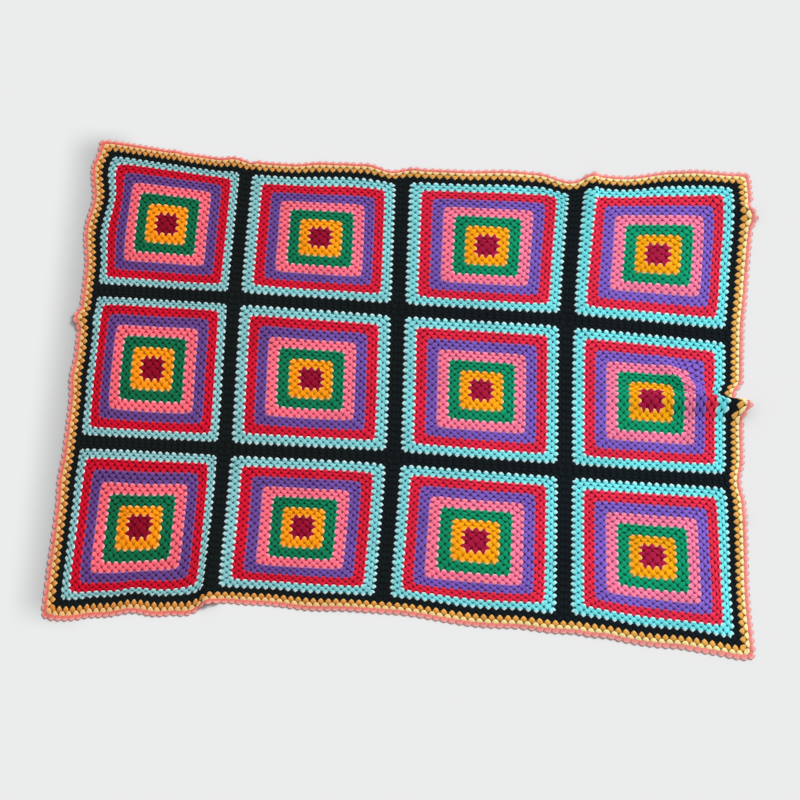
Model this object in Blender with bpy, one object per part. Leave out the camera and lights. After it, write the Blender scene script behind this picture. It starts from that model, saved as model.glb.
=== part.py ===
"""Granny square blanket, lying flat with its real unevenness.

Twelve crocheted squares are set in a black joining lattice, and three border rounds run
round the whole. A point of the cloth has its own coordinates u (across) and v (up), counted
in crochet rounds from the blanket's middle. lay() carries it to where it lies: the joins
have drifted off an even grid, the edges are drawn in or pushed out, and low folds rise.
"""
import math

import bpy
import numpy as np

MM = 0.001

# Driving sizes of the crochet, in metres and in rounds
ROUND = 0.009
CLOTH = 0.004
GAP = 0.0003
COLUMNS = 4
ROWS = 3
PANEL = 21
PITCH = 46
HALF_U = COLUMNS * PITCH / 2
HALF_V = ROWS * PITCH / 2

# Border rounds from the lattice outwards: name, width in rounds, colour
BORDER = (
    ("border_amber", 1.0, (0.87, 0.42, 0.06)),
    ("border_cream", 0.9, (0.93, 0.76, 0.38)),
    ("edging_coral", 1.1, (0.86, 0.22, 0.21)),
)
BLACK = (0.008, 0.010, 0.014)
TURQUOISE = (0.13, 0.72, 0.75)

# Drift of the joins' crossings off the even grid, in millimetres: a row for each join line
# from the far edge to the near one, a column for each from left to right
DRIFT_X = (
    (48, -10, -20, 16, 20),
    (46, -10, -12, -2, 0),
    (50, 1, -2, 2, -2),
    (48, 1, -9, 7, 18),
)
DRIFT_Y = (
    (16, -18, -14, 0, 40),
    (6, 6, 0, -3, -21),
    (-9, -6, -4, -12, -14),
    (-30, 22, 24, 10, -28),
)

# Places where the cloth is drawn in or pushed out: middle u and v, reach along u and v in
# rounds, and the shift in x and y in millimetres
PULLS = (
    (-69, 46, 20, 20, -7, 4),
    (69, 46, 20, 20, 8, 0),
    (-69, 0, 21, 21, -7, -15),
    (-23, 0, 20, 20, 0, -9),
    (-69, -46, 20, 20, 0, -14),
    (-23, -46, 20, 20, 4, -8),
    (23, -46, 20, 20, 0, -9),
    (80, 10, 6, 6, -14, -4),
    (-50, 72, 5, 9, 0, 8),
    (-44.3, 73, 2, 5, 0, -7),
    (-16, 72, 13, 14, 0, 10),
    (-3, 72, 5, 9, 0, -9),
    (27, 72, 10, 12, 0, 5),
    (44, 72, 9, 14, 0, -24),
    (48.8, 74, 3.4, 7, 0, 6),
    (-25, 72, 7, 9, 0, 6),
    (-10, 72, 4, 8, 0, 4),
    (53, -72, 5, 8, 0, -5),
    (81, -72, 7, 8, 0, -5),
    (60, 72, 13, 12, 0, -12),
    (92, 72, 14, 10, 0, -14),
    (90, -72, 12, 12, 0, -11),
    (44, -72, 12, 12, 0, -11),
    (25, -72, 22, 12, 0, -15),
    (66, -72, 20, 12, 0, -13),
    (-19, -72, 12, 10, 0, -6),
    (-41, -72, 5, 9, 0, 3),
    (-51.5, -72, 6, 9, 0, -10),
    (-57, -72, 14, 14, 0, -24),
    (-74, -72, 9, 12, 0, -13),
    (-64.5, -72, 9, 10, 0, -8),
    (-86, -72, 14, 12, 0, -14),
    (-97, 74, 10, 8, -12, 0),
    (-95, 62, 14, 9, -17, 0),
    (-96, 55, 8, 6, -5, 0),
    (-95, -34, 8, 8, -4, 0),
    (-95, 42, 14, 13, -14, 0),
    (-96, 14, 9, 4, -13, 0),
    (-95, -4, 10, 7, -5, 0),
    (95, 56, 14, 20, 14, 0),
    (97, 57, 7, 3, 12, 0),
    (96, 4.6, 14, 5, -19, 0),
    (97, -0.6, 14, 3.4, 20, 0),
    (97, 60.6, 7, 2.4, -9, 0),
    (95, 38, 12, 14, 6, 0),
    (95, -23, 10, 7, -9, 0),
    (95, -57, 12, 22, -7, 0),
)

# Folds: crest from u, v to u, v, half width before and behind it in rounds, height at the
# start and the end in millimetres, and its lean towards the back for each unit of height.
# Behind is to the left on the way from start to end.
FOLDS = (
    (84, 1.2, 99, -0.4, 5.8, 1.8, 25, 28, 0.38),
    (56, 0.2, 84, 1.2, 5.5, 4.0, 3, 25, 0.20),
    (84, 2.2, 72, 13.0, 4.0, 5.0, 21, 4, 0.0),
    (87, 62.6, 99, 57.4, 4.0, 1.6, 4, 13, 0.45),
    (50.2, 75, 52.4, 38, 4.0, 1.8, 11, 2, 0.50),
    (-46.8, -76, -46.6, -50, 5.0, 3.0, 11, 3, 0.30),
    (-98, 14, -85, 12, 4.5, 4.5, 8, 2, 0.0),
    (-43, 75, -43.5, 66, 2.4, 2.4, 7, 1, 0.0),
    (-70, 75, -69, 67, 2.6, 2.6, 6, 1, 0.0),
    (3, 75, 3.5, 67, 2.6, 2.6, 6, 1, 0.0),
    (98, -34, 88, -33, 3.0, 3.0, 7, 1, 0.0),
)
FOLD_BLEND = 4
FOLD_END = 5.0

# Slack that lifts wide patches a little off the surface
SLACK = 2.5 * MM
SLACK_U = 2 * math.pi / 61
SLACK_V = 2 * math.pi / 53
SLACK_TURN = 0.9

# Middle of the uneven outline, which is moved to the origin
MIDDLE_X = 36.32 * MM
MIDDLE_Y = -3.10 * MM

# Grid lines of the solids: even ones in each square, and closer ones where folds run
CELLS_PER_PANEL = 6
FOLD_LINES_U = (-50.2, -46.8, 50.2, 51.3, 53.4, 86.0)
FOLD_LINES_V = (-5.0, -2.8, -0.8, 0.2, 1.2, 2.4, 4.4, 56.6, 58.6, 60.2, 61.8, 64.6)
LINE_SPACING = 1.2


def hermite_weights(place, count):
    """Catmull-Rom weights of evenly spaced knots: the cubic Hermite blend of the two knots
    beside each place, with tangents from the knots' neighbours."""
    knot = np.clip(np.floor(place).astype(int), 0, count - 2)
    f = (place - knot)[:, None]
    tangent = np.zeros((count, count))
    for i in range(count):
        before = max(i - 1, 0)
        after = min(i + 1, count - 1)
        tangent[i, after] += 1 / (after - before)
        tangent[i, before] -= 1 / (after - before)
    value = np.eye(count)
    start = (2 * f**3 - 3 * f**2 + 1) * value[knot] + (f**3 - 2 * f**2 + f) * tangent[knot]
    end = (3 * f**2 - 2 * f**3) * value[knot + 1] + (f**3 - f**2) * tangent[knot + 1]
    return start + end


def bell(reach):
    """Squared cosine that falls from 1 at reach 0 to 0 at reach 1 and beyond."""
    return np.cos(math.pi / 2 * np.minimum(reach, 1.0)) ** 2


def folds(u, v):
    """Height and sideways shift of the folds. Each is a bell across its crest, with its own
    width before and behind; where folds meet, the higher one takes over smoothly."""
    heights = []
    backs = []
    for u0, v0, u1, v1, before, behind, start, end, lean in FOLDS:
        length = math.hypot(u1 - u0, v1 - v0)
        along_u = (u1 - u0) / length
        along_v = (v1 - v0) / length
        along = (u - u0) * along_u + (v - v0) * along_v
        across = (v - v0) * along_u - (u - u0) * along_v
        inside = np.clip(along, 0.0, length)
        width = np.where(across > 0, behind, before)
        reach = np.hypot(across / width, (along - inside) / FOLD_END)
        height = (start + (end - start) * inside / length) * MM * bell(reach)
        heights.append(height)
        backs.append((-along_v * lean, along_u * lean))
    heights = np.array(heights)
    backs = np.array(backs)
    total = (heights**FOLD_BLEND).sum(axis=0) ** (1 / FOLD_BLEND)
    share = heights**FOLD_BLEND / np.maximum(total, MM * MM) ** FOLD_BLEND
    shift = np.einsum("fn,fc->nc", share, backs) * total[:, None]
    return total, shift


def underside(u, v):
    """Place of the cloth's lower face: the even grid, plus the joins' drift, the pulls at
    the edges, the folds with their lean, and the slack."""
    across = hermite_weights((u + HALF_U) / PITCH, COLUMNS + 1)
    down = hermite_weights((HALF_V - v) / PITCH, ROWS + 1)
    x = u * ROUND + np.einsum("nr,rc,nc->n", down, np.array(DRIFT_X), across) * MM
    y = v * ROUND + np.einsum("nr,rc,nc->n", down, np.array(DRIFT_Y), across) * MM
    for pull_u, pull_v, reach_u, reach_v, shift_x, shift_y in PULLS:
        near = bell(np.hypot((u - pull_u) / reach_u, (v - pull_v) / reach_v))
        x = x + shift_x * MM * near
        y = y + shift_y * MM * near
    height, shift = folds(u, v)
    wave = np.sin(u * SLACK_U + SLACK_TURN * np.sin(v * SLACK_V)) * np.cos(v * SLACK_V)
    slack = SLACK * np.maximum(wave, 0.0) ** 2
    x = x + shift[:, 0] - MIDDLE_X
    y = y + shift[:, 1] - MIDDLE_Y
    return np.stack([x, y, height + slack], axis=1)


def lay(u, v, above):
    """A point of the cloth: its underside, and then above along the surface's normal,
    which is the cross product of the underside's slopes along u and v."""
    step = 0.05
    slope_u = underside(u + step, v) - underside(u - step, v)
    slope_v = underside(u, v + step) - underside(u, v - step)
    normal = np.cross(slope_u, slope_v)
    normal /= np.linalg.norm(normal, axis=1)[:, None]
    return underside(u, v) + normal * above


def grid_lines(squares, fold_lines):
    """Lines across all squares in one direction: each panel's edges and even inner lines,
    and the fold lines in place of the even ones that they crowd."""
    edges = []
    even = []
    for index in range(squares):
        middle = PITCH * (index - (squares - 1) / 2)
        edges += [middle - PANEL, middle + PANEL]
        cell = 2 * PANEL / CELLS_PER_PANEL
        even += [middle - PANEL + cell * i for i in range(1, CELLS_PER_PANEL)]
    crowded = list(edges) + list(fold_lines)
    even = [line for line in even if min(abs(line - other) for other in crowded) > LINE_SPACING]
    return sorted(edges + list(fold_lines) + even)


def wall(p, q, lift):
    """Two triangles over the cell side from p to q. The diagonal rises towards the higher
    number, so the walls on both sides of a gap are split the same way."""
    if p < q:
        return [(p, q, q + lift), (p, q + lift, p + lift)]
    return [(p, q, p + lift), (q, q + lift, p + lift)]


def sheet_solid(name, u_lines, v_lines, kept, colour):
    """One closed solid from the kept cells of a grid: a top and a bottom face for each
    cell, and a wall on each side that has no kept neighbour."""
    nu = len(u_lines)
    nv = len(v_lines)
    u, v = np.meshgrid(u_lines, v_lines, indexing="ij")
    bottom = lay(u.ravel(), v.ravel(), 0.0)
    top = lay(u.ravel(), v.ravel(), CLOTH)
    number = np.arange(nu * nv).reshape(nu, nv)
    lift = nu * nv
    framed = np.zeros((nu + 1, nv + 1), dtype=bool)
    framed[1:nu, 1:nv] = kept
    faces = []
    walls = []
    for i, j in zip(*np.nonzero(kept)):
        a, b, c, d = number[i, j], number[i + 1, j], number[i + 1, j + 1], number[i, j + 1]
        faces.append((a + lift, b + lift, c + lift, d + lift))
        faces.append((d, c, b, a))
        beside = (framed[i + 1, j], framed[i + 2, j + 1], framed[i + 1, j + 2], framed[i, j + 1])
        for neighbour, (p, q) in zip(beside, ((a, b), (b, c), (c, d), (d, a))):
            if not neighbour:
                walls += wall(p, q, lift)
    mesh = bpy.data.meshes.new(name)
    corners = np.concatenate([bottom, top])
    used = np.unique(np.array(faces))
    renumber = np.zeros(len(corners), dtype=int)
    renumber[used] = np.arange(len(used))
    polygons = renumber[np.array(faces)].tolist() + renumber[np.array(walls)].tolist()
    mesh.from_pydata(corners[used].tolist(), [], polygons)
    piece = bpy.data.objects.new(name, mesh)
    bpy.context.collection.objects.link(piece)
    piece.data.materials.append(yarn(name, colour))
    return piece


def yarn(name, colour):
    """Matt wool in one colour."""
    material = bpy.data.materials.new(name)
    material.use_nodes = True
    shader = material.node_tree.nodes["Principled BSDF"]
    shader.inputs["Base Color"].default_value = (*colour, 1.0)
    shader.inputs["Roughness"].default_value = 0.9
    shader.inputs["Metallic"].default_value = 0.0
    return material


def within(lines, low, high):
    """The lines strictly between low and high, with both ends put on."""
    return [low] + [line for line in lines if low < line < high] + [high]


def squares(u_lines, v_lines):
    """The twelve coloured squares, each up to half a gap from its edge."""
    reach = PANEL - GAP / 2 / ROUND
    for row in range(ROWS):
        for column in range(COLUMNS):
            u = PITCH * (column - (COLUMNS - 1) / 2)
            v = PITCH * ((ROWS - 1) / 2 - row)
            across = within(u_lines, u - reach, u + reach)
            up = within(v_lines, v - reach, v + reach)
            kept = np.ones((len(across) - 1, len(up) - 1), dtype=bool)
            sheet_solid(f"square_r{row + 1}c{column + 1}", across, up, kept, TURQUOISE)


def lattice(u_lines, v_lines):
    """The black joins between the squares and round them, with a window for each square."""
    half_gap = GAP / 2 / ROUND
    spans = []
    all_lines = []
    for lines, half, count in ((u_lines, HALF_U, COLUMNS), (v_lines, HALF_V, ROWS)):
        middles = [PITCH * (i - (count - 1) / 2) for i in range(count)]
        shifted = [-half + half_gap] + list(lines) + [half - half_gap]
        for middle in middles:
            shifted[shifted.index(middle - PANEL)] -= half_gap
            shifted[shifted.index(middle + PANEL)] += half_gap
        cells = (np.array(shifted[1:]) + np.array(shifted[:-1])) / 2
        spans.append(np.min([abs(cells - m) for m in middles], axis=0) < PANEL)
        all_lines.append(shifted)
    kept = ~(spans[0][:, None] & spans[1][None, :])
    sheet_solid("lattice_black", *all_lines, kept, BLACK)


def border(u_lines, v_lines):
    """The border rounds, each a closed ring one cell wide round the one before it. A ring
    keeps the lines of those inside it, so both walls of a gap bend at the same places."""
    half_gap = GAP / 2 / ROUND
    inner = 0.0
    sides = [list(u_lines), list(v_lines)]
    for name, width, colour in BORDER:
        outer = inner + width
        rings = []
        for lines, half in zip(sides, (HALF_U, HALF_V)):
            low = half + inner + half_gap
            high = half + outer - half_gap
            lines[:] = [-low] + lines + [low]
            rings.append([-high] + lines + [high])
        kept = np.ones((len(rings[0]) - 1, len(rings[1]) - 1), dtype=bool)
        kept[1:-1, 1:-1] = False
        sheet_solid(name, *rings, kept, colour)
        inner = outer


def main():
    for thing in list(bpy.data.objects):
        bpy.data.objects.remove(thing)
    u_lines = grid_lines(COLUMNS, FOLD_LINES_U)
    v_lines = grid_lines(ROWS, FOLD_LINES_V)
    squares(u_lines, v_lines)
    lattice(u_lines, v_lines)
    border(u_lines, v_lines)


main()
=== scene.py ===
"""Granny square blanket of twelve squares, laid out on a pale floor.

A point of the cloth has its own coordinates u (across) and v (up), counted in crochet rounds
from the blanket's middle. lay() carries it to where it lies, as in the blanket's own solids.
Each solid is replaced by a thin ground sheet in a darkened tone of its yarn, a painted shade. On it lie
the crocheted clusters: small rounded fans of three trebles, which start in the gap of the round before,
so that a hole stays between two neighbours, dark with the ground sheet's painted shade.
"""
import math
from functools import partial

import bpy
import numpy as np
from mathutils import Matrix


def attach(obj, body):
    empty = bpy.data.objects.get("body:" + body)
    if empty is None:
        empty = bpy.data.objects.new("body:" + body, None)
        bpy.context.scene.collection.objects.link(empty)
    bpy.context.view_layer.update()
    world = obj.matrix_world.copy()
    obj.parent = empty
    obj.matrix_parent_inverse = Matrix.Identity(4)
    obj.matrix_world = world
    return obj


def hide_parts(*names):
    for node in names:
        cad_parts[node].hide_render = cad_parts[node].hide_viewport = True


MM = 0.001

# Driving sizes of the crochet, in metres and in rounds
ROUND = 0.009
GAP = 0.0003
COLUMNS = 4
ROWS = 3
PANEL = 21
PITCH = 46
JOIN = 2
HALF_U = COLUMNS * PITCH / 2
HALF_V = ROWS * PITCH / 2

# Drift of the joins' crossings off the even grid, in millimetres: a row for each join line
# from the far edge to the near one, a column for each from left to right
DRIFT_X = (
    (48, -10, -20, 16, 20),
    (46, -10, -12, -2, 0),
    (50, 1, -2, 2, -2),
    (48, 1, -9, 7, 18),
)
DRIFT_Y = (
    (16, -18, -14, 0, 40),
    (6, 6, 0, -3, -21),
    (-9, -6, -4, -12, -14),
    (-30, 22, 24, 10, -28),
)

# Places where the cloth is drawn in or pushed out: middle u and v, reach along u and v in
# rounds, and the shift in x and y in millimetres
PULLS = (
    (-69, 46, 20, 20, -7, 4),
    (69, 46, 20, 20, 8, 0),
    (-69, 0, 21, 21, -7, -15),
    (-23, 0, 20, 20, 0, -9),
    (-69, -46, 20, 20, 0, -14),
    (-23, -46, 20, 20, 4, -8),
    (23, -46, 20, 20, 0, -9),
    (80, 10, 6, 6, -14, -4),
    (-50, 72, 5, 9, 0, 8),
    (-44.3, 73, 2, 5, 0, -7),
    (-16, 72, 13, 14, 0, 10),
    (-3, 72, 5, 9, 0, -9),
    (27, 72, 10, 12, 0, 5),
    (44, 72, 9, 14, 0, -24),
    (48.8, 74, 3.4, 7, 0, 6),
    (-25, 72, 7, 9, 0, 6),
    (-10, 72, 4, 8, 0, 4),
    (53, -72, 5, 8, 0, -5),
    (81, -72, 7, 8, 0, -5),
    (60, 72, 13, 12, 0, -12),
    (92, 72, 14, 10, 0, -14),
    (90, -72, 12, 12, 0, -11),
    (44, -72, 12, 12, 0, -11),
    (25, -72, 22, 12, 0, -15),
    (66, -72, 20, 12, 0, -13),
    (-19, -72, 12, 10, 0, -6),
    (-41, -72, 5, 9, 0, 3),
    (-51.5, -72, 6, 9, 0, -10),
    (-57, -72, 14, 14, 0, -24),
    (-74, -72, 9, 12, 0, -13),
    (-64.5, -72, 9, 10, 0, -8),
    (-86, -72, 14, 12, 0, -14),
    (-97, 74, 10, 8, -12, 0),
    (-95, 62, 14, 9, -17, 0),
    (-96, 55, 8, 6, -5, 0),
    (-95, -34, 8, 8, -4, 0),
    (-95, 42, 14, 13, -14, 0),
    (-96, 14, 9, 4, -13, 0),
    (-95, -4, 10, 7, -5, 0),
    (95, 56, 14, 20, 14, 0),
    (97, 57, 7, 3, 12, 0),
    (96, 4.6, 14, 5, -19, 0),
    (97, -0.6, 14, 3.4, 20, 0),
    (97, 60.6, 7, 2.4, -9, 0),
    (95, 38, 12, 14, 6, 0),
    (95, -23, 10, 7, -9, 0),
    (95, -57, 12, 22, -7, 0),
)

# Folds: crest from u, v to u, v, half width before and behind it in rounds, height at the
# start and the end in millimetres, and its lean towards the back for each unit of height
FOLDS = (
    (84, 1.2, 99, -0.4, 5.8, 1.8, 25, 28, 0.38),
    (56, 0.2, 84, 1.2, 5.5, 4.0, 3, 25, 0.20),
    (84, 2.2, 72, 13.0, 4.0, 5.0, 21, 4, 0.0),
    (87, 62.6, 99, 57.4, 4.0, 1.6, 4, 13, 0.45),
    (50.2, 75, 52.4, 38, 4.0, 1.8, 11, 2, 0.50),
    (-46.8, -76, -46.6, -50, 5.0, 3.0, 11, 3, 0.30),
    (-98, 14, -85, 12, 4.5, 4.5, 8, 2, 0.0),
    (-43, 75, -43.5, 66, 2.4, 2.4, 7, 1, 0.0),
    (-70, 75, -69, 67, 2.6, 2.6, 6, 1, 0.0),
    (3, 75, 3.5, 67, 2.6, 2.6, 6, 1, 0.0),
    (98, -34, 88, -33, 3.0, 3.0, 7, 1, 0.0),
)
FOLD_BLEND = 4
FOLD_END = 5.0

# Slack that lifts wide patches a little off the surface
SLACK = 2.5 * MM
SLACK_U = 2 * math.pi / 61
SLACK_V = 2 * math.pi / 53
SLACK_TURN = 0.9

# Middle of the uneven outline, which is moved to the origin
MIDDLE_X = 36.32 * MM
MIDDLE_Y = -3.10 * MM

# Longest cell of the ground sheets, and the stretches where it is cut in three because folds
# run there
CELL = 1.5
FINE_U = ((-51, -43), (47, 56), (82, 92))
FINE_V = ((-6, 8), (55, 67))

# The ground sheets' thickness and the height at which the clusters sink into them
GROUND = 1.9 * MM
RIM = 1.2 * MM

# A cluster row by row from its foot outwards: place in rounds from the round's inner edge,
# half width in rounds, and height in millimetres
FAN = np.array([
    (-0.46, 0.32, 1.2),
    (-0.28, 0.52, 4.2),
    (0.08, 0.64, 4.7),
    (0.44, 0.79, 4.5),
    (0.80, 1.06, 4.1),
    (1.22, 0.48, 1.2),
])
# The same for the amber round's pointed leaves, the cream round's beads and the edging's arches
LEAF = np.array([
    (-0.66, 0.14, 1.2),
    (-0.30, 0.46, 4.2),
    (0.06, 0.68, 4.8),
    (0.40, 0.84, 4.8),
    (0.74, 0.84, 4.4),
    (1.08, 0.44, 1.2),
])
BEAD = np.array([
    (-0.44, 0.26, 1.2),
    (-0.20, 0.50, 4.6),
    (0.10, 0.70, 5.2),
    (0.48, 0.88, 5.2),
    (0.84, 1.02, 4.6),
    (1.20, 0.60, 1.2),
])
ARCH = np.array([
    (-0.40, 0.66, 1.2),
    (-0.10, 1.02, 3.3),
    (0.22, 1.18, 3.7),
    (0.52, 1.12, 3.5),
    (0.92, 0.90, 3.2),
    (1.30, 0.56, 1.2),
])
# Border rounds from the lattice outwards: name, width in rounds, width of the ground sheet, paleness of
# the clusters' feet and of their tops, which is a painted highlight, and their form
BORDER = (
    ("border_amber", 1.0, 1.0, 0.5, 0.0, LEAF),
    ("border_cream", 0.9, 0.9, 0.5, 0.4, BEAD),
    ("edging_coral", 1.1, 0.6, 0.0, 0.7, ARCH),
)
# Across a cluster: place from side to side and share of the height. Three posts, two dips
POSTS = np.array([
    (-1.0, 0.0), (-0.84, 0.88), (-0.40, 0.90), (0.0, 1.0), (0.40, 0.90), (0.84, 0.88), (1.0, 0.0),
])
# Share of that height that the flatter black clusters have
LATTICE_LOW = 0.74
# Share of its width that each row keeps in a narrow-topped cluster
TIPS = np.array([1.0, 1.0, 1.0, 0.92, 0.60, 0.50])
# How far the sides of each row stay behind its middle, which rounds the cluster's top
SETBACK = np.array([-0.22, -0.12, 0.0, 0.02, 0.12, 0.24])
# Where the foot starts within a band, whose first round has the longest feet
INNER_FOOT = -0.42
# Where a corner cluster's foot starts and its top ends, how far two of them overlap on the
# diagonal and the share of the height that they have there, and how far a corner is drawn in,
# which rounds it, with the stretch of the side that this reaches
CORNER_FOOT = -0.38
CORNER_TOP = 1.08
CORNER_OVERLAP = 0.12
CORNER_RISE = 0.74
CORNER_DRAW = 0.36
CORNER_REACH = 2.4

# Pale tips, a painted highlight: where in a cluster the foot's paleness ends and the top's starts, and
# the stretch over which each fades, in rounds
FOOT_ENDS = 0.18
TOP_STARTS = 0.42
TIP_FADE = 0.34
# Scatter from cluster to cluster: its place in rounds, its width as a share, its height, and
# its tone as a share of the brightness
SCATTER_PLACE = 0.035
SCATTER_WIDTH = 0.03
SCATTER_HEIGHT = 0.22 * MM
SCATTER_TONE = 0.035

# Uneven tension in each square, in rounds: shift of its middle in u and v, and how far the
# rounds halfway out have moved outwards on the far, right, near and left side. In the first
# column the last red rounds are loose too and crowd the edge
MIDDLE_REACH = 16
LOOSE_RED = 0.6
TENSION = (
    ((0.2, -0.2, 1.0, 0.6, 0.9, 1.7), (0.3, 0.0, 0.4, 0.8, 1.2, -0.3),
     (0.2, 0.0, 1.0, 0.1, 1.0, -0.3), (-0.1, -0.1, 0.0, 1.7, 0.3, -0.1)),
    ((0.2, 1.4, 0.6, 0.7, 0.6, 1.4), (0.0, 0.6, -0.2, 0.0, 0.3, 0.3),
     (0.0, -0.2, -0.6, 0.3, 0.8, -0.2), (0.5, 0.5, -0.4, 0.7, 0.7, -0.1)),
    ((-0.1, 0.4, -0.6, 1.1, 2.9, 1.0), (-0.3, 0.5, 0.1, 0.1, 1.7, -0.5),
     (0.0, 0.3, 0.1, 0.4, 2.5, 0.7), (0.2, -0.7, -0.6, 0.8, 1.8, 0.1)),
)

# Directions along and outwards for the four sides: far, right, near, left
ALONG = np.array([(1, 0), (0, -1), (-1, 0), (0, 1)])
OUTWARDS = np.array([(0, 1), (1, 0), (0, -1), (-1, 0)])

# Yarns as linear colours: at the left end and at the right end, which differ by a painted light that is
# brighter towards the right, and the pale tone of the painted highlight on the tips
YARNS = {
    "maroon": ((0.27, 0.002, 0.019), (0.44, 0.012, 0.060), (0.55, 0.05, 0.13)),
    "orange": ((1.0, 0.31, 0.006), (1.0, 0.43, 0.006), (1.0, 0.66, 0.24)),
    "green": ((0.006, 0.148, 0.062), (0.005, 0.345, 0.165), (0.06, 0.44, 0.26)),
    "pink": ((1.0, 0.155, 0.205), (1.0, 0.24, 0.42), (1.0, 0.66, 0.68)),
    "purple": ((0.14, 0.058, 0.25), (0.240, 0.13, 0.62), (0.50, 0.26, 0.80)),
    "red": ((0.64, 0.005, 0.026), (0.84, 0.032, 0.082), (0.95, 0.14, 0.18)),
    "turquoise": ((0.27, 0.55, 0.57), (0.18, 0.84, 0.89), (0.96, 1.0, 1.0)),
    "black": ((0.006, 0.009, 0.009), (0.006, 0.010, 0.013), (0.010, 0.014, 0.017)),
    "amber": ((0.66, 0.25, 0.046), (0.82, 0.40, 0.075), (1.0, 0.62, 0.24)),
    "cream": ((0.84, 0.43, 0.14), (1.0, 0.80, 0.33), (1.0, 0.86, 0.50)),
    "coral": ((0.76, 0.15, 0.115), (0.80, 0.23, 0.21), (1.0, 0.50, 0.46)),
}
# Share of the yarn's brightness that a ground sheet keeps, where it isn't the usual one: the sheet is
# darkened as a painted shade that shows in the holes between the clusters
USUAL_GROUND_SHADE = 0.20
GROUND_SHADE = {
    "maroon": 0.50, "orange": 0.42, "pink": 0.27, "turquoise": 0.10, "black": 0.60, "amber": 0.07,
    "cream": 0.14, "coral": 0.45,
}
# Bands from the middle outwards: yarn, how pale the feet of the band's first round and the tops of its
# last one are, which is a painted highlight, how narrow those tops are, and how much longer, in rounds
BANDS = (
    ("maroon", 0.0, 0.0, 0.9, 0.80),
    ("orange", 0.9, 0.85, 0.9, 0.0),
    ("green", 0.05, 0.05, 0.2, 0.0),
    ("pink", 0.8, 0.2, 0.6, 0.0),
    ("purple", 0.4, 0.1, 0.3, 0.0),
    ("red", 0.3, 0.1, 0.3, 0.0),
    ("turquoise", 1.0, 0.6, 1.1, 0.14),
)
ROUNDS_PER_BAND = 3

# Half of the width over which the yarns turn from their left tone to their right one, a painted light
# that is brighter towards the right, the turn of a treble's twisted plies in radians, and the scales of
# the wool's patterns for each metre
PAINTED_LIGHT_REACH = 0.75
PLY_TURN = 0.7
PLIES = 190.0
WEAVE = 160.0
FUZZ = 900.0
CLOUDS = 7.0

# Soft painted shade on the floor along the left edge: its strength, from where to where it fades left
# of the edge, under the blanket and along the edge, in metres, and the line of the edge, which is
# SHADE_OUT rounds beyond the lattice and drawn between two points SHADE_HALF rounds from the middle
SHADE = 0.37
SHADE_REACH = (-0.015, 0.095)
SHADE_UNDER = (-0.12, -0.04)
SHADE_ENDS = (0.62, 0.72)
SHADE_OUT = 3
SHADE_HALF = 60.0

# Floor: half its side, its place just below the cloth, and its grey
FLOOR_REACH = 30.0
FLOOR_BELOW = -0.3 * MM
FLOOR_GREY = 0.785
# Light: strength of the sky and of the sun, the sun's width, and its turn and tilt in degrees
SKY = 0.60
SUN = 2.36
SUN_WIDTH = 24
SUN_TURN = -48
SUN_TILT = -51
# Camera: its lens in millimetres, its place, and its turns about Z, X and then Z in degrees
LENS = 117.0
CAMERA_PLACE = (-0.0285, -3.1031, 5.6190)
CAMERA_TURNS = ((0.029, "Z"), (28.5544, "X"), (3.2976, "Z"))


def hermite_weights(place, count):
    """Catmull-Rom weights of evenly spaced knots: the cubic Hermite blend of the two knots
    beside each place, with tangents from the knots' neighbours."""
    knot = np.clip(np.floor(place).astype(int), 0, count - 2)
    f = (place - knot)[:, None]
    tangent = np.zeros((count, count))
    for i in range(count):
        before = max(i - 1, 0)
        after = min(i + 1, count - 1)
        tangent[i, after] += 1 / (after - before)
        tangent[i, before] -= 1 / (after - before)
    value = np.eye(count)
    start = (2 * f**3 - 3 * f**2 + 1) * value[knot] + (f**3 - 2 * f**2 + f) * tangent[knot]
    end = (3 * f**2 - 2 * f**3) * value[knot + 1] + (f**3 - f**2) * tangent[knot + 1]
    return start + end


def bell(reach):
    """Squared cosine that falls from 1 at reach 0 to 0 at reach 1 and beyond."""
    return np.cos(math.pi / 2 * np.minimum(reach, 1.0)) ** 2


def folds(u, v):
    """Height and sideways shift of the folds. Each is a bell across its crest, with its own
    width before and behind; where folds meet, the higher one takes over smoothly."""
    heights = []
    backs = []
    for u0, v0, u1, v1, before, behind, start, end, lean in FOLDS:
        length = math.hypot(u1 - u0, v1 - v0)
        along_u = (u1 - u0) / length
        along_v = (v1 - v0) / length
        along = (u - u0) * along_u + (v - v0) * along_v
        across = (v - v0) * along_u - (u - u0) * along_v
        inside = np.clip(along, 0.0, length)
        width = np.where(across > 0, behind, before)
        reach = np.hypot(across / width, (along - inside) / FOLD_END)
        heights.append((start + (end - start) * inside / length) * MM * bell(reach))
        backs.append((-along_v * lean, along_u * lean))
    heights = np.array(heights)
    backs = np.array(backs)
    total = (heights**FOLD_BLEND).sum(axis=0) ** (1 / FOLD_BLEND)
    share = heights**FOLD_BLEND / np.maximum(total, MM * MM) ** FOLD_BLEND
    return total, np.einsum("fn,fc->nc", share, backs) * total[:, None]


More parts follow.
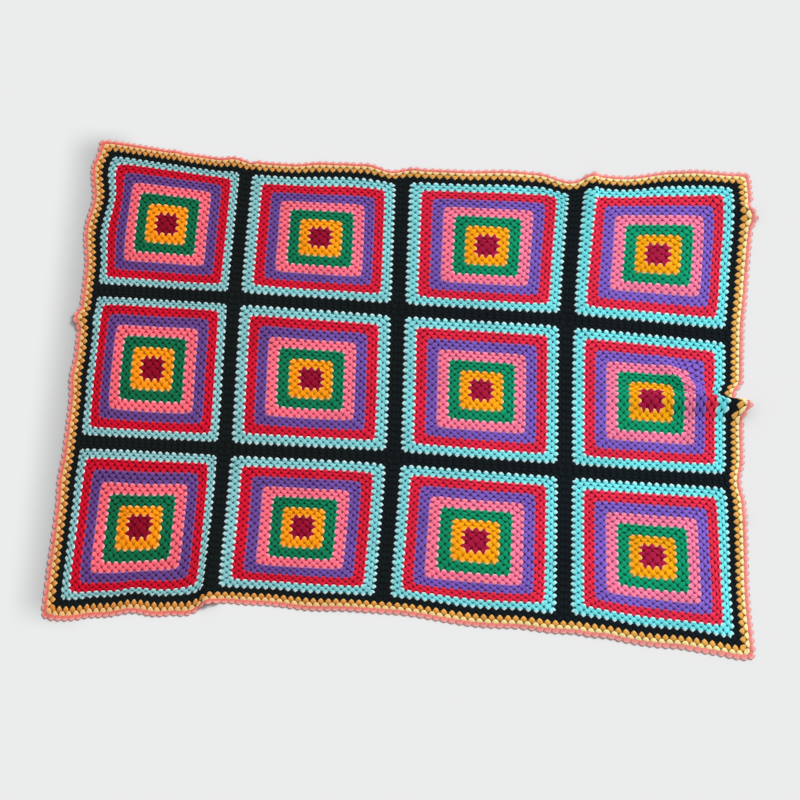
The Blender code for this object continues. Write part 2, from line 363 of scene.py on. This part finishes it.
def underside(u, v):
    """Place of the cloth's lower face: the even grid, plus the joins' drift, the pulls at
    the edges, the folds with their lean, and the slack."""
    across = hermite_weights((u + HALF_U) / PITCH, COLUMNS + 1)
    down = hermite_weights((HALF_V - v) / PITCH, ROWS + 1)
    x = u * ROUND + np.einsum("nr,rc,nc->n", down, np.array(DRIFT_X), across) * MM
    y = v * ROUND + np.einsum("nr,rc,nc->n", down, np.array(DRIFT_Y), across) * MM
    for pull_u, pull_v, reach_u, reach_v, shift_x, shift_y in PULLS:
        near = bell(np.hypot((u - pull_u) / reach_u, (v - pull_v) / reach_v))
        x += shift_x * MM * near
        y += shift_y * MM * near
    height, shift = folds(u, v)
    wave = np.sin(u * SLACK_U + SLACK_TURN * np.sin(v * SLACK_V)) * np.cos(v * SLACK_V)
    slack = SLACK * np.maximum(wave, 0.0) ** 2
    x += shift[:, 0] - MIDDLE_X
    y += shift[:, 1] - MIDDLE_Y
    return np.stack([x, y, height + slack], axis=1)


def lay(u, v, above):
    """A point of the cloth: its underside, and then above along the surface's normal,
    which is the cross product of the underside's slopes along u and v."""
    step = 0.05
    slope_u = underside(u + step, v) - underside(u - step, v)
    slope_v = underside(u, v + step) - underside(u, v - step)
    normal = np.cross(slope_u, slope_v)
    normal /= np.linalg.norm(normal, axis=1)[:, None]
    return underside(u, v) + normal * np.reshape(above, (-1, 1))


def eased(u, v, middle_u, middle_v, tension, loose):
    """Coordinates within a square after its uneven tension. Near the middle they shift by a
    bell. A half sine from middle to edge moves each side's rounds outwards, and another, of
    the cube of the way, moves the last ones by loose. All end at the square's edge, so its
    outline stays."""
    shift_u, shift_v, far, right, near, left = tension
    du = u - middle_u
    dv = v - middle_v
    middle = bell(np.hypot(du, dv) / MIDDLE_REACH)
    inside_u = np.minimum(np.abs(du) / PANEL, 1.0)
    inside_v = np.minimum(np.abs(dv) / PANEL, 1.0)
    wave_u = np.sin(math.pi * inside_u) * (1 - inside_v**4)
    wave_v = np.sin(math.pi * inside_v) * (1 - inside_u**4)
    last_u = np.sign(du) * loose * np.sin(math.pi * inside_u**3)
    last_v = np.sign(dv) * loose * np.sin(math.pi * inside_v**3)
    out_u = np.where(du > 0, right, -left) * wave_u + last_u
    out_v = np.where(dv > 0, far, -near) * wave_v + last_v
    return u + shift_u * middle + out_u, v + shift_v * middle + out_v


def piece_from(name, points, faces, materials, material_index):
    """A mesh piece at the origin from arrays of points and four-cornered faces."""
    mesh = bpy.data.meshes.new(name)
    mesh.vertices.add(len(points))
    mesh.vertices.foreach_set("co", points.astype(np.float32).ravel())
    mesh.loops.add(faces.size)
    mesh.loops.foreach_set("vertex_index", faces.astype(np.int32).ravel())
    mesh.polygons.add(len(faces))
    mesh.polygons.foreach_set("loop_start", np.arange(0, faces.size, 4, dtype=np.int32))
    for material in materials:
        mesh.materials.append(material)
    mesh.polygons.foreach_set("material_index", material_index.astype(np.int32))
    mesh.polygons.foreach_set("use_smooth", np.ones(len(faces), dtype=bool))
    mesh.update(calc_edges=True)
    piece = bpy.data.objects.new(name, mesh)
    bpy.context.collection.objects.link(piece)
    return piece


def lines_between(breaks, fine):
    """Grid lines through the breaks, in even cells of up to CELL rounds. A cell whose middle
    is in a fine stretch is cut in three."""
    lines = [np.array(breaks[:1])]
    for low, high in zip(breaks[:-1], breaks[1:]):
        count = math.ceil((high - low) / CELL - 0.01)
        lines.append(np.linspace(low, high, count + 1)[1:])
    lines = np.concatenate(lines)
    start = lines[:-1]
    width = lines[1:] - start
    middle = start + width / 2
    inside = np.any([(middle > a) & (middle < b) for a, b in fine], axis=0)
    first = start[inside] + width[inside] / 3
    second = start[inside] + width[inside] * 2 / 3
    return np.sort(np.concatenate([lines, first, second]))


def as_it_is(u, v):
    """Coordinates that no tension changes."""
    return u, v


def ground_sheet(name, u_lines, v_lines, kept, materials, band, ease=as_it_is):
    """Closed thin sheet from the kept cells of a grid: a top and a bottom face for each cell,
    and a wall on each of its sides that has no kept neighbour."""
    nu = len(u_lines)
    nv = len(v_lines)
    u, v = np.meshgrid(u_lines, v_lines, indexing="ij")
    u, v = ease(u.ravel(), v.ravel())
    number = np.arange(nu * nv).reshape(nu, nv)
    corner = (number[:-1, :-1], number[1:, :-1], number[1:, 1:], number[:-1, 1:])
    lift = nu * nv
    cells = np.stack([c[kept] for c in corner], axis=1)
    faces = [cells + lift, cells[:, ::-1]]
    bands = [band[kept], band[kept]]
    framed = np.pad(kept, 1)
    beside = (framed[1:-1, :-2], framed[2:, 1:-1], framed[1:-1, 2:], framed[:-2, 1:-1])
    for side, neighbour in enumerate(beside):
        open_side = kept & ~neighbour
        p = corner[side][open_side]
        q = corner[(side + 1) % 4][open_side]
        faces.append(np.stack([p, q, q + lift, p + lift], axis=1))
        bands.append(band[open_side])
    faces = np.concatenate(faces)
    used, faces = np.unique(faces, return_inverse=True)
    faces = faces.reshape(-1, 4)
    at = used % lift
    points = lay(u[at], v[at], np.where(used < lift, 0.0, GROUND))
    piece = piece_from(name, points, faces, materials, np.concatenate(bands))
    piece.data.set_sharp_from_angle(angle=math.radians(50))
    return piece


def runs(counts):
    """Place of each item in its run, for runs that are counts long."""
    return np.arange(counts.sum()) - np.repeat(np.cumsum(counts) - counts, counts)


def square_rounds(middle_u, middle_v, first, last):
    """Clusters of a square's rounds: round n has n of them on each side, two rounds apart,
    and starts n - 1 rounds from the middle. Columns: side, place along it, inner edge, reach
    of the corner, middle u, middle v, depth, paleness of foot and top, narrowness and extra
    length of the top, band."""
    rounds = np.arange(first, last + 1)
    number = np.repeat(rounds, rounds)
    start = number - 1
    same = np.ones(len(number))
    along = 2 * runs(rounds) - start
    band = np.minimum(start // ROUNDS_PER_BAND, len(BANDS) - 1)
    pale = np.array([row[1:] for row in BANDS])[band]
    pale_foot = np.where(start % ROUNDS_PER_BAND == 0, pale[:, 0], 0.0)
    is_last = np.where(number % ROUNDS_PER_BAND == 0, 1.0, 0.0)
    pale_top, narrow, long = (pale[:, 1:] * is_last[:, None]).T
    one = np.stack([
        along, start, start, middle_u * same, middle_v * same, same,
        pale_foot, pale_top, narrow, long, band,
    ], axis=1)
    return np.concatenate([np.insert(one, 0, side, axis=1) for side in range(4)])


def border_rounds(step, inner, depth, pale_foot, pale_top):
    """Clusters of a border round, two rounds apart along each side. The step-th border round
    has its first one step rounds beyond the lattice's corner."""
    parts = []
    for side in range(4):
        length, out = (HALF_U, HALF_V) if side % 2 == 0 else (HALF_V, HALF_U)
        along = np.arange(-(length + step), length + step + 1, 2)
        row = (side, 0, out + inner, length + inner, 0, 0, depth, pale_foot, pale_top, 0, 0, 0)
        part = np.tile(np.array(row, dtype=float), (len(along), 1))
        part[:, 1] = along
        parts.append(part)
    return np.concatenate(parts)


def clusters(name, layout, fan, materials, chance, ease=as_it_is):
    """Crocheted clusters as one piece. Each is a grid of rows from its foot outwards and of
    columns across its three posts: the row gives place, half width and height, the column
    gives the share of both, and the rim sinks into the ground sheet. The tops of a band's last
    round are narrower and longer. Corner clusters are squeezed to their side of the diagonal.
    Attributes: loft from rim to crest, which also places the painted shade in the dips, pale towards
    the tips for a painted highlight, and tone, one small random shade for each cluster."""
    columns_of = layout.T[:, :, None, None]
    side, along, inner, reach, middle_u, middle_v, depth, pale_foot, pale_top = columns_of[:9]
    narrow, long, band = columns_of[9:]
    side = side.astype(int)
    count = len(layout)
    rows = len(fan)
    columns = len(POSTS)
    place = fan[:, 0][None, :, None]
    width = fan[:, 1][None, :, None] * (1 - narrow * (1 - TIPS[None, :, None]))
    height = fan[:, 2][None, :, None] * MM
    post = POSTS[:, 0][None, None, :]
    outer = (post * along > 0) | (reach < 0.5)
    first = place[:, :1]
    last = place[:, -1:]
    at_corner = np.abs(along) > reach - 0.5
    foot = np.where(pale_foot > 0, first, np.maximum(first, INNER_FOOT))
    foot = np.where(at_corner, CORNER_FOOT, foot)
    end = np.where(at_corner, np.minimum(last, CORNER_TOP), last)
    place = foot + (end + long - foot) * (place - first) / (last - first)
    near = place - SETBACK[None, :, None] * post**2
    out = inner + depth * near
    shift = chance.normal(0.0, SCATTER_PLACE, (count, 1, 1))
    fuller = 1 + chance.normal(0.0, SCATTER_WIDTH, (count, 1, 1))
    taller = chance.normal(0.0, SCATTER_HEIGHT, (count, 1, 1))
    tone = np.clip(chance.normal(0.0, 1.0, (count, 1, 1)), -2.0, 2.0)
    limit = np.maximum(reach + depth * place + CORNER_OVERLAP, 0.02)
    joined = at_corner & outer & (np.abs(along + shift) + width * fuller > limit)
    rise = np.maximum(POSTS[:, 1][None, None, :], np.where(joined, CORNER_RISE, 0.0))
    low = np.maximum(along + shift - width * fuller, -limit)
    high = np.minimum(along + shift + width * fuller, limit)
    across = low + (high - low) * (post + 1) / 2
    to_diagonal = reach + depth * near - np.abs(across)
    nearness = 1 - np.clip(to_diagonal / CORNER_REACH, 0.0, 1.0)
    drawn = CORNER_DRAW * np.clip(reach / 4, 0.0, 1.0) * nearness**2
    out = out - drawn
    across = across - np.sign(across) * drawn
    above = RIM + (height - RIM + np.where(height > 2 * RIM, taller, 0.0)) * rise
    u = middle_u + across * ALONG[side, 0] + out * OUTWARDS[side, 0]
    v = middle_v + across * ALONG[side, 1] + out * OUTWARDS[side, 1]
    shape = (count, rows, columns)
    above = np.broadcast_to(above, shape)
    u, v = ease(u.ravel(), v.ravel())
    points = lay(u, v, above.ravel())
    number = np.arange(count * rows * columns).reshape(shape)
    cells = (number[:, :-1, :-1], number[:, :-1, 1:], number[:, 1:, 1:], number[:, 1:, :-1])
    faces = np.stack([c.ravel() for c in cells], axis=1)
    per_cluster = (rows - 1) * (columns - 1)
    piece = piece_from(name, points, faces, materials, np.repeat(band.ravel(), per_cluster))
    mesh = piece.data
    loft = (above - RIM) / (above.max() - RIM)
    # Painted highlight: the feet and tops pale towards their tips
    foot_highlight = pale_foot * np.clip((FOOT_ENDS - place) / TIP_FADE, 0.0, 1.0)
    top_highlight = pale_top * np.clip((near - TOP_STARTS) / TIP_FADE, 0.0, 1.0)
    for title, values in (("loft", loft), ("pale", np.maximum(foot_highlight, top_highlight)), ("tone", tone)):
        spread = np.broadcast_to(values, shape).astype(np.float32).ravel()
        mesh.attributes.new(title, "FLOAT", "POINT").data.foreach_set("value", spread)
    strands = np.stack(np.broadcast_arrays(across - along, near), axis=-1)
    strands = (strands * ROUND).reshape(-1, 2)[faces.ravel()]
    mesh.uv_layers.new(name="strands").data.foreach_set("uv", strands.astype(np.float32).ravel())
    return piece


def node(tree, kind, settings=(), **sockets):
    """A node of this kind with its settings, and with sockets given or linked by name."""
    made = tree.nodes.new(kind)
    for key, value in dict(settings).items():
        setattr(made, key, value)
    for key, value in sockets.items():
        socket = made.inputs[int(key[1:])] if key[0] == "n" and key[1:].isdigit() else made.inputs[key]
        if isinstance(value, bpy.types.NodeSocket):
            tree.links.new(value, socket)
        else:
            socket.default_value = value
    return made


def maths(tree, operation, first, second):
    """Result of one sum on two values or sockets."""
    return node(tree, "ShaderNodeMath", {"operation": operation}, n0=first, n1=second).outputs[0]


def blended(tree, share, first, second):
    """Colour between the first and the second by share."""
    kind = {"data_type": "RGBA", "clamp_factor": True}
    made = node(tree, "ShaderNodeMix", kind, n0=share, n6=first, n7=second)
    return made.outputs[2]


def spread(tree, value, low, high, to_low, to_high):
    """Value carried from one range to another, smoothly and without leaving it."""
    kind = {"interpolation_type": "SMOOTHSTEP"}
    made = node(tree, "ShaderNodeMapRange", kind, n0=value, n1=low, n2=high, n3=to_low, n4=to_high)
    return made.outputs[0]


def toned(tree, colour, value, saturation=1.0):
    """The colour with its brightness multiplied by value."""
    return node(tree, "ShaderNodeHueSaturation", n0=0.5, n1=saturation, n2=value, n4=colour).outputs[0]


def attribute(tree, name):
    """A number that the mesh holds at each point."""
    return node(tree, "ShaderNodeAttribute", {"attribute_name": name}).outputs["Fac"]


def yarn(name, raised):
    """Matt wool. Its colour runs from the left end's to the right end's, a painted light that brightens
    it towards the right, clouded by a slow noise; a raised one is darkened in the dips as a painted
    shade, full on the posts and pale at the cluster's foot and top as a painted highlight, with twisted
    plies as bump. A ground one is a painted shade alone, the yarn's colour darkened, with a fine grain."""
    left, right, pale = (tuple(c) + (1.0,) for c in YARNS[name])
    material = bpy.data.materials.new(name + ("_yarn" if raised else "_ground"))
    material.use_nodes = True
    tree = material.node_tree
    shader = tree.nodes["Principled BSDF"]
    place = node(tree, "ShaderNodeTexCoord").outputs["Object"]
    parted = node(tree, "ShaderNodeSeparateXYZ", n0=place).outputs
    # Painted light: the yarn turns from its left tone to its brighter right one across the blanket
    side = spread(tree, parted[0], -PAINTED_LIGHT_REACH, PAINTED_LIGHT_REACH, 0.0, 1.0)
    clouds = node(tree, "ShaderNodeTexNoise", Vector=place, Scale=CLOUDS, Detail=2.0).outputs[0]
    cloudy = spread(tree, clouds, 0.3, 0.7, 0.93, 1.07)
    colour = blended(tree, side, left, right)
    fuzz = node(tree, "ShaderNodeTexNoise", Vector=place, Scale=FUZZ, Detail=2.0).outputs[0]
    if raised:
        shade = maths(tree, "MULTIPLY", attribute(tree, "tone"), SCATTER_TONE)
        colour = toned(tree, colour, maths(tree, "ADD", cloudy, shade))
        # Painted shade: the colour darkened in the dips and at the rims, where the loft is low
        dip_shade = toned(tree, colour, 0.66, 1.05)
        loft = attribute(tree, "loft")
        colour = blended(tree, spread(tree, loft, 0.0, 0.4, 0.0, 1.0), dip_shade, colour)
        # Painted highlight: pale towards the tips, away from the dips
        tip_highlight = maths(tree, "MULTIPLY", attribute(tree, "pale"), spread(tree, loft, 0.05, 0.4, 0.0, 1.0))
        colour = blended(tree, tip_highlight, colour, pale)
        strands = node(tree, "ShaderNodeUVMap", {"uv_map": "strands"}).outputs[0]
        turn = (0.0, 0.0, PLY_TURN)
        turned = node(tree, "ShaderNodeMapping", Vector=strands, Rotation=turn).outputs[0]
        plies = node(tree, "ShaderNodeTexWave", Vector=turned, Scale=PLIES, Distortion=0.8).outputs[1]
        relief = node(tree, "ShaderNodeBump", Strength=0.55, Distance=0.0005, Height=plies).outputs[0]
    else:
        # Painted shade: the ground sheet is its yarn's colour darkened, for the holes between the
        # clusters
        tone = maths(tree, "MULTIPLY", cloudy, GROUND_SHADE.get(name, USUAL_GROUND_SHADE))
        colour = toned(tree, colour, tone, 1.08)
        weave = node(tree, "ShaderNodeTexVoronoi", Vector=place, Scale=WEAVE).outputs[0]
        relief = node(tree, "ShaderNodeBump", Strength=0.6, Distance=0.0008, Height=weave).outputs[0]
    relief = node(tree, "ShaderNodeBump", Strength=0.4, Distance=0.0003, Height=fuzz, Normal=relief)
    tree.links.new(colour, shader.inputs["Base Color"])
    tree.links.new(relief.outputs[0], shader.inputs["Normal"])
    shader.inputs["Roughness"].default_value = 0.9
    shader.inputs["Specular IOR Level"].default_value = 0.08
    shader.inputs["Sheen Weight"].default_value = 0.10
    shader.inputs["Sheen Roughness"].default_value = 0.5
    shader.inputs["Sheen Tint"].default_value = right
    return material


def settle(piece):
    """Each piece rides on the blanket's one body."""
    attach(piece, "root")


def squares(raised, grounds):
    """Twelve coloured squares, three rounds of each yarn, each a ground sheet with its
    clusters."""
    reach = PANEL - GAP / 2 / ROUND
    chance = np.random.default_rng(3)
    for row in range(ROWS):
        for column in range(COLUMNS):
            u = PITCH * (column - (COLUMNS - 1) / 2)
            v = PITCH * ((ROWS - 1) / 2 - row)
            u_lines = lines_between([u - reach, u + reach], FINE_U)
            v_lines = lines_between([v - reach, v + reach], FINE_V)
            far_u = np.abs((u_lines[1:] + u_lines[:-1]) / 2 - u)
            far_v = np.abs((v_lines[1:] + v_lines[:-1]) / 2 - v)
            band = np.maximum(far_u[:, None], far_v[None, :]) // ROUNDS_PER_BAND
            node_name = f"square_r{row + 1}c{column + 1}"
            kept = np.ones(band.shape, dtype=bool)
            loose = LOOSE_RED if column == 0 else 0.0
            ease = partial(eased, middle_u=u, middle_v=v, tension=TENSION[row][column], loose=loose)
            ground = ground_sheet("ground_" + node_name, u_lines, v_lines, kept, grounds, band, ease)
            layout = square_rounds(u, v, 1, PANEL)
            stitches = clusters("clusters_" + node_name, layout, FAN, raised, chance, ease)
            settle(ground)
            settle(stitches)
            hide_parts(node_name)


def lattice(raised, ground_yarn, others):
    """Black rounds of the joins, with a window for each square. As a strip two rounds wide
    they are as long as all the squares' black rounds together."""
    half_gap = GAP / 2 / ROUND
    lines = []
    inside = []
    for half, count, fine in ((HALF_U, COLUMNS, FINE_U), (HALF_V, ROWS, FINE_V)):
        middles = PITCH * (np.arange(count) - (count - 1) / 2)
        edges = np.concatenate([middles - PANEL - half_gap, middles + PANEL + half_gap])
        lines.append(lines_between([half_gap - half, *np.sort(edges), half - half_gap], fine))
        cells = (lines[-1][1:] + lines[-1][:-1]) / 2
        inside.append((np.abs(cells[:, None] - middles[None, :]) < PANEL).any(axis=1))
    u_lines, v_lines = lines
    kept = ~(inside[0][:, None] & inside[1][None, :])
    band = np.zeros(kept.shape)
    ground = ground_sheet("ground_lattice_black", u_lines, v_lines, kept, [ground_yarn], band)
    chance = np.random.default_rng(5)
    parts = []
    for row in range(ROWS):
        for column in range(COLUMNS):
            u = PITCH * (column - (COLUMNS - 1) / 2)
            v = PITCH * ((ROWS - 1) / 2 - row)
            parts.append(square_rounds(u, v, PANEL + 1, PANEL + JOIN))
    layout = np.concatenate(parts)
    layout[:, 7:] = 0
    low_fan = FAN * (1.0, 1.0, LATTICE_LOW)
    stitches = clusters("clusters_lattice_black", layout, low_fan, [raised], chance)
    settle(ground)
    settle(stitches)
    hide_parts("lattice_black")


def border():
    """Border rounds, each a closed ring round the one before it, with its clusters. The
    outermost has little arches that reach past its ground."""
    half_gap = GAP / 2 / ROUND
    chance = np.random.default_rng(7)
    pieces = []
    inner = 0.0
    for step, (node_name, width, ground_width, pale_foot, pale_top, fan) in enumerate(BORDER):
        colour = node_name.split("_")[1]
        rings = []
        for half, fine in ((HALF_U, FINE_U), (HALF_V, FINE_V)):
            low = half + inner + half_gap
            high = half + inner + ground_width - half_gap
            rings.append(np.concatenate([[-high], lines_between([-low, low], fine), [high]]))
        kept = np.ones((len(rings[0]) - 1, len(rings[1]) - 1), dtype=bool)
        kept[1:-1, 1:-1] = False
        band = np.zeros(kept.shape)
        ground = ground_sheet("ground_" + node_name, *rings, kept, [yarn(colour, False)], band)
        layout = border_rounds(step, inner, width, pale_foot, pale_top)
        stitches = clusters("clusters_" + node_name, layout, fan, [yarn(colour, True)], chance)
        settle(ground)
        settle(stitches)
        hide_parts(node_name)
        pieces += [ground, stitches]
        inner += width
    return pieces


def left_shade(tree, colour):
    """The floor's colour with a soft shade painted along the blanket's left edge. It is darkest at the
    edge, fades leftwards and under the blanket, and ends with the edge."""
    edge_u = np.full(2, -HALF_U - SHADE_OUT)
    far, near = lay(edge_u, np.array([SHADE_HALF, -SHADE_HALF]), np.zeros(2))
    slope = (far[0] - near[0]) / (far[1] - near[1])
    place = node(tree, "ShaderNodeTexCoord").outputs["Object"]
    x, y = node(tree, "ShaderNodeSeparateXYZ", n0=place).outputs[:2]
    edge = maths(tree, "ADD", maths(tree, "MULTIPLY", y, slope), near[0] - near[1] * slope)
    distance = maths(tree, "SUBTRACT", edge, x)
    across = spread(tree, distance, *SHADE_REACH, SHADE, 0.0)
    under = spread(tree, distance, *SHADE_UNDER, 0.0, 1.0)
    along = spread(tree, maths(tree, "ABSOLUTE", y, 0.0), *SHADE_ENDS, 1.0, 0.0)
    shade = maths(tree, "MULTIPLY", maths(tree, "MULTIPLY", across, under), along)
    light = maths(tree, "SUBTRACT", 1.0, shade)
    return toned(tree, colour, light)


def turned_by(place, turns):
    """The place with each turn in degrees about its axis put after it."""
    for degrees, axis in turns:
        place = place @ Matrix.Rotation(math.radians(degrees), 4, axis)
    return place


def studio():
    """Pale floor, soft light from behind on the right, and the camera above the near edge."""
    floor = bpy.data.objects.new("floor", bpy.data.meshes.new("floor"))
    signs = ((-1, -1), (1, -1), (1, 1), (-1, 1))
    corners = [(x * FLOOR_REACH, y * FLOOR_REACH, FLOOR_BELOW) for x, y in signs]
    floor.data.from_pydata(corners, [], [(0, 1, 2, 3)])
    paint = bpy.data.materials.new("floor_paint")
    paint.use_nodes = True
    tree = paint.node_tree
    shader = tree.nodes["Principled BSDF"]
    grey = (FLOOR_GREY, FLOOR_GREY, FLOOR_GREY, 1.0)
    tree.links.new(left_shade(tree, grey), shader.inputs["Base Color"])
    shader.inputs["Roughness"].default_value = 0.9
    shader.inputs["Specular IOR Level"].default_value = 0.1
    floor.data.materials.append(paint)
    bpy.context.collection.objects.link(floor)

    world = bpy.data.worlds.new("studio")
    world.use_nodes = True
    sky = world.node_tree.nodes["Background"]
    sky.inputs["Color"].default_value = (0.98, 0.99, 1.0, 1.0)
    sky.inputs["Strength"].default_value = SKY
    bpy.context.scene.world = world

    sun = bpy.data.lights.new("window", "SUN")
    sun.energy = SUN
    sun.angle = math.radians(SUN_WIDTH)
    window = bpy.data.objects.new("window", sun)
    window.matrix_world = turned_by(Matrix(), ((SUN_TURN, "Z"), (SUN_TILT, "X")))
    bpy.context.collection.objects.link(window)

    lens = bpy.data.cameras.new("camera")
    lens.lens = LENS
    lens.sensor_width = 36.0
    lens.clip_end = 100.0
    camera = bpy.data.objects.new("camera", lens)
    camera.matrix_world = turned_by(Matrix.Translation(CAMERA_PLACE), CAMERA_TURNS)
    bpy.context.collection.objects.link(camera)
    bpy.context.scene.camera = camera
    bpy.context.scene.view_settings.view_transform = "Standard"
    bpy.context.scene.view_settings.look = "None"


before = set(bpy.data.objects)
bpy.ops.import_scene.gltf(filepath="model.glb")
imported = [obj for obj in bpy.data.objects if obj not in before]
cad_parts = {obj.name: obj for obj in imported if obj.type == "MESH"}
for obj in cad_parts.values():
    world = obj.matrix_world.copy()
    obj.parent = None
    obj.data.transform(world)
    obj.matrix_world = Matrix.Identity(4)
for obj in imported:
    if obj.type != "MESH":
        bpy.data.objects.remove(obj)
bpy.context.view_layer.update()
studio()
colours = [row[0] for row in BANDS]
squares([yarn(name, True) for name in colours], [yarn(name, False) for name in colours])
lattice(yarn("black", True), yarn("black", False), border())
